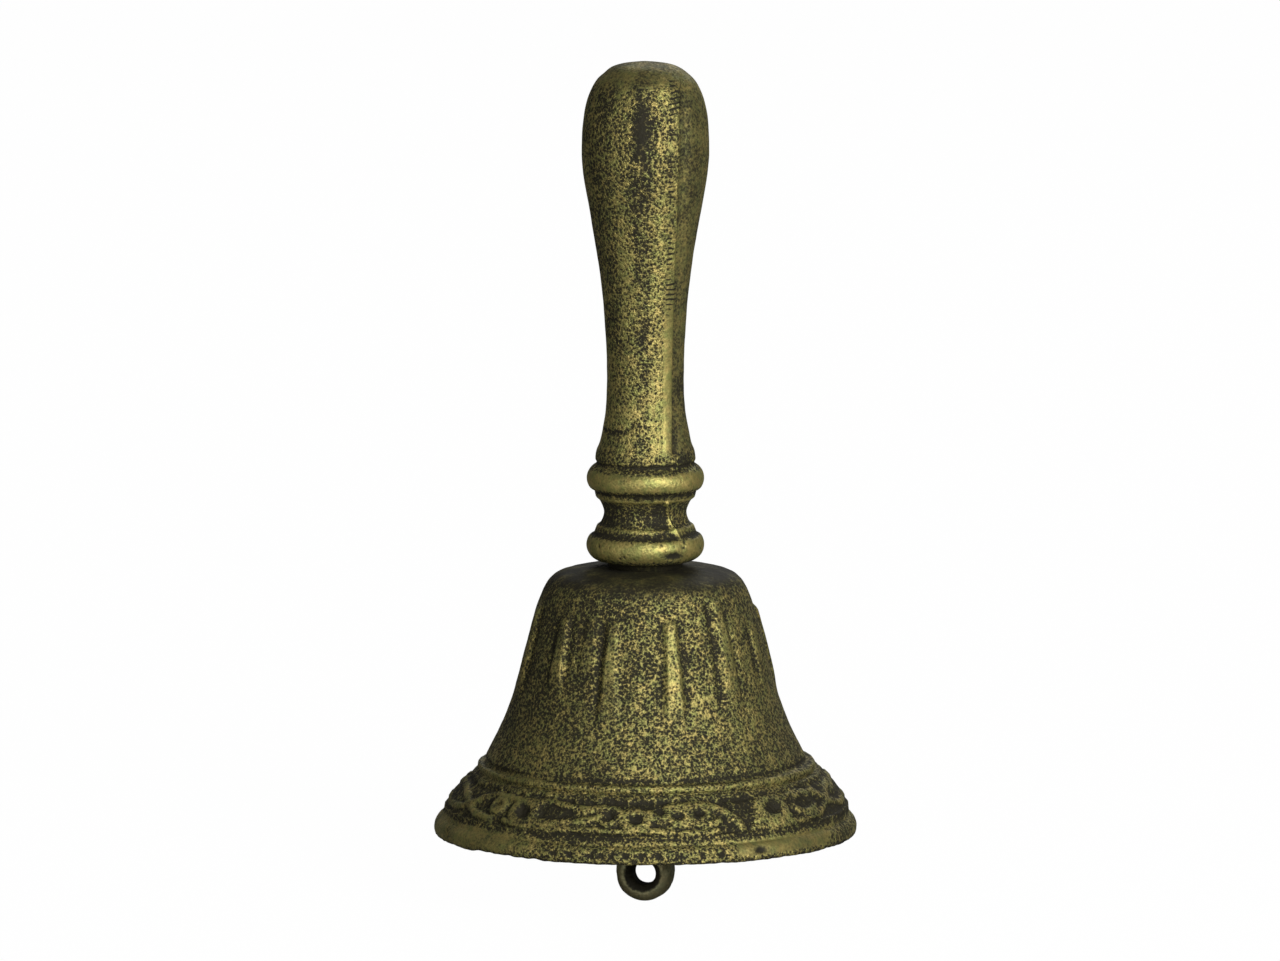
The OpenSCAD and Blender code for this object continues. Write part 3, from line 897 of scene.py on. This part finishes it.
def steel(name, dark, pale, worn, rough):
    """Plated or blackened steel. Its mill finish is satin, clouded by handling and by a little
    white or brown rust, with fine draw marks, and it is bright where another part rubs."""
    m = bpy.data.materials.new(name)
    m.use_nodes = True
    m.node_tree.nodes.clear()
    per_mm = 1000
    place = add(m, "TexCoord").outputs["Object"]
    rubbed = add(m, "Attribute", {"attribute_name": "rub_and_painted_light"}).outputs["Fac"]
    cloud = add(m, "TexNoise", Vector=place, Scale=per_mm / 3, Detail=4.0, Roughness=0.65)
    spots = add(m, "TexNoise", Vector=place, Scale=per_mm / 0.7, Detail=2.0, Roughness=0.6)
    # draw marks are finer than 0.1 mm, but are drawn 0.35 mm apart so that they show
    marks = add(m, "TexNoise", Vector=place, Scale=per_mm / 0.35, Detail=1.0)
    mixed = add(m, "Math", {"operation": "MULTIPLY_ADD"}, i0=spots.outputs["Fac"], i1=0.45,
                i2=cloud.outputs["Fac"])
    patina = add(m, "MapRange", {"interpolation_type": "SMOOTHSTEP"}, Value=mixed.outputs["Value"],
                 From_Min=0.52, From_Max=0.92)
    skin = add(m, "Mix", {"data_type": "RGBA"}, Factor=patina.outputs["Result"], A=linear(dark),
               B=linear(pale))
    colour = add(m, "Mix", {"data_type": "RGBA"}, Factor=rubbed, A=skin.outputs["Result"],
                 B=linear(worn))
    dull = add(m, "MapRange", Value=patina.outputs["Result"], To_Min=rough + 0.14, To_Max=rough)
    gloss = add(m, "MapRange", Value=rubbed, To_Min=dull.outputs["Result"], To_Max=0.22)
    fine = add(m, "Bump", Height=marks.outputs["Fac"], Strength=0.35, Distance=0.04 * mm)
    shader = add(m, "BsdfPrincipled", Base_Color=colour.outputs["Result"], Metallic=1.0,
                 Roughness=gloss.outputs["Result"], Normal=fine.outputs["Normal"])
    add(m, "OutputMaterial", Surface=shader.outputs["BSDF"])
    return m


zinc = steel("dull_zinc_plate_on_mild_steel", "#6c6e70", "#a6a8aa", "#c4c4c2", 0.36)
piece_from(bolt, "eye_bolt_steel", zinc, "bell", ["eye_bolt"])
piece_from(hanger, "hanger_ring_steel", zinc, "link", ["hanger_ring"])


# ---------------------------------------------------------------------------------------------
# Nut and washers: a thin hexagon nut and a stamped flat washer, both zinc plated, with a
# blackened spring washer between them. They clamp the crown to the handle from inside.
# ---------------------------------------------------------------------------------------------
def eased(corners, r):
    """A closed outline with its corners eased by a small curve."""
    points = []
    for i, corner in enumerate(corners):
        p, before = Vector(corner), Vector(corners[i - 1])
        after = Vector(corners[(i + 1) % len(corners)])
        a, b = p + (before - p).normalized() * r, p + (after - p).normalized() * r
        points += [a.lerp(p, t).lerp(p.lerp(b, t), t) for t in (0, 0.33, 0.67, 1)]
    return points


def lifted_to(bm, node):
    """Lifts a piece that was made at height 0 to the foot of a CAD node."""
    bmesh.ops.translate(bm, vec=(0, 0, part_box(node)[0][2]), verts=bm.verts)
    return bm


washer_r, washer_t, washer_hole_r = 9 * mm, 1.6 * mm, 3.2 * mm
washer_section = [(washer_hole_r, 0), (washer_r, 0), (washer_r, washer_t),
                  (washer_hole_r, washer_t)]
washer = turned(eased(washer_section, 0.25 * mm), 128, True)
piece_from(lifted_to(washer, "crown_washer"), "crown_washer_steel", zinc, "bell",
           ["crown_washer"])

nut_flat = 5 * mm
nut_corner = nut_flat / cos(radians(30))
nut_t = 3.2 * mm
nut_ease = (nut_corner - nut_flat) / 2
mouth = 0.25 * mm
nut_section = [(bolt_hole_r + mouth, 0), (nut_flat, 0), (nut_corner, nut_ease),
               (nut_corner, nut_t - nut_ease), (nut_flat, nut_t), (bolt_hole_r + mouth, nut_t),
               (bolt_hole_r, nut_t - mouth), (bolt_hole_r, mouth)]
nut = turned(eased(nut_section, 0.08 * mm), 192, True)
for v in nut.verts:
    # the six flats are cut from the turned blank
    r = v.co.xy.length
    flat = nut_flat / cos((atan2(v.co.y, v.co.x) % radians(60)) - radians(30))
    if r > flat:
        v.co.xy *= flat / r
piece_from(lifted_to(nut, "crown_nut"), "crown_nut_steel", zinc, "bell",
           ["crown_nut"])

spring_r, spring_t = 5.9 * mm, 1.5 * mm
split_w = 0.8 * mm
split_slant = radians(20)
split_at = radians(40)
spring_middle = (spring_r + bolt_hole_r) / 2
split_angle = split_w / cos(split_slant) / spring_middle
spring_section = [(bolt_hole_r, 0), (spring_r, 0), (spring_r, spring_t), (bolt_hole_r, spring_t)]
spring = bmesh.new()
spring_verts = []
for r, z in eased(spring_section, 0.15 * mm):
    # its split is cut on a slant, so each end is a slanted section
    a = split_at - z * tan(split_slant) / r + split_angle / 2
    spring_verts.append(spring.verts.new((r * cos(a), r * sin(a), z)))
spring_pairs = zip(spring_verts, spring_verts[1:] + spring_verts[:1])
spring_edges = [spring.edges.new(pair) for pair in spring_pairs]
bmesh.ops.spin(spring, geom=spring_verts + spring_edges, axis=(0, 0, 1), cent=(0, 0, 0),
               angle=2 * pi - split_angle, steps=96, use_merge=False)
bmesh.ops.holes_fill(spring, edges=[e for e in spring.edges if e.is_boundary], sides=0)
bmesh.ops.recalc_face_normals(spring, faces=spring.faces)
blackened = steel("blackened_spring_steel", "#2c2b2a", "#4a4845", "#77736c", 0.4)
piece_from(lifted_to(spring, "lock_washer"), "lock_washer_steel", blackened, "bell",
           ["lock_washer"])


# ---------------------------------------------------------------------------------------------
# Floor, light and camera: a white sheet that glows for the camera, dim grey surroundings, and
# a soft light from the front right, so the bell darkens towards both its sides
# ---------------------------------------------------------------------------------------------
floor_half_w = 30
floor_mesh = bpy.data.meshes.new("floor")
floor_bm = bmesh.new()
bmesh.ops.create_grid(floor_bm, x_segments=1, y_segments=1, size=floor_half_w,
                      matrix=Matrix.Translation((0, 0, cad_box[0][2])))
floor_bm.to_mesh(floor_mesh)
floor_bm.free()
floor_piece = bpy.data.objects.new("floor", floor_mesh)
bpy.context.scene.collection.objects.link(floor_piece)
pale = bpy.data.materials.new("pale_studio_floor")
pale.use_nodes = True
pale.node_tree.nodes.clear()
matt = add(pale, "BsdfDiffuse", Color=linear("#8c8c88"))
glow = add(pale, "Emission", Color=(1, 1, 1, 1), Strength=1.02)
eye_ray = add(pale, "LightPath").outputs["Is Camera Ray"]
glow_share = add(pale, "Math", {"operation": "MULTIPLY"}, i0=eye_ray, i1=0.97)
floor_mix = add(pale, "MixShader", Fac=glow_share.outputs["Value"], i1=matt.outputs["BSDF"],
                i2=glow.outputs["Emission"])
# from underneath, the floor is left out, so that the inside of the bell can be seen
under = add(pale, "NewGeometry").outputs["Backfacing"]
clear = add(pale, "BsdfTransparent", Color=(1, 1, 1, 1))
one_sided = add(pale, "MixShader", Fac=under, i1=floor_mix.outputs["Shader"],
                i2=clear.outputs["BSDF"])
add(pale, "OutputMaterial", Surface=one_sided.outputs["Shader"])
floor_mesh.materials.append(pale)

world = bpy.data.worlds.new("studio")
bpy.context.scene.world = world
world.use_nodes = True
sky = world.node_tree.nodes["Background"]
sky.inputs["Color"].default_value = (1, 1, 1, 1)
sky.inputs["Strength"].default_value = 0.16

middle = Vector((0, 0, (cad_box[0][2] + cad_box[1][2]) / 2))


def soft_light(name, azimuth, elevation, distance, size, power):
    """A square softbox that faces the middle of the bell."""
    data = bpy.data.lights.new(name, "AREA")
    data.size = size
    data.energy = power
    lamp = bpy.data.objects.new(name, data)
    a, e = radians(azimuth), radians(elevation)
    lamp.location = middle + distance * Vector((sin(a) * cos(e), -cos(a) * cos(e), sin(e)))
    lamp.rotation_euler = (middle - lamp.location).to_track_quat("-Z", "Y").to_euler()
    bpy.context.scene.collection.objects.link(lamp)


soft_light("key", azimuth=28, elevation=16, distance=1.2, size=0.4, power=22)
soft_light("fill", azimuth=-30, elevation=3, distance=1.4, size=0.22, power=4.6)
soft_light("back", azimuth=165, elevation=35, distance=1.6, size=0.8, power=6)

camera_data = bpy.data.cameras.new("camera")
camera = bpy.data.objects.new("camera", camera_data)
bpy.context.scene.collection.objects.link(camera)
bpy.context.scene.camera = camera
distance = 4.0
seen_width = 0.3068
sensor_width = 36
camera_data.sensor_width = sensor_width
camera_data.lens = sensor_width * distance / seen_width
elevation = radians(8.3)
target_x, target_up = -1.3 * mm, 101.9 * mm
target = Vector((target_x, 0, cad_box[0][2] + target_up))
camera.location = target + distance * Vector((0, -cos(elevation), sin(elevation)))
camera.rotation_euler = (target - camera.location).to_track_quat("-Z", "Y").to_euler()
camera_data.clip_end = 60

bpy.context.scene.view_settings.view_transform = "Standard"
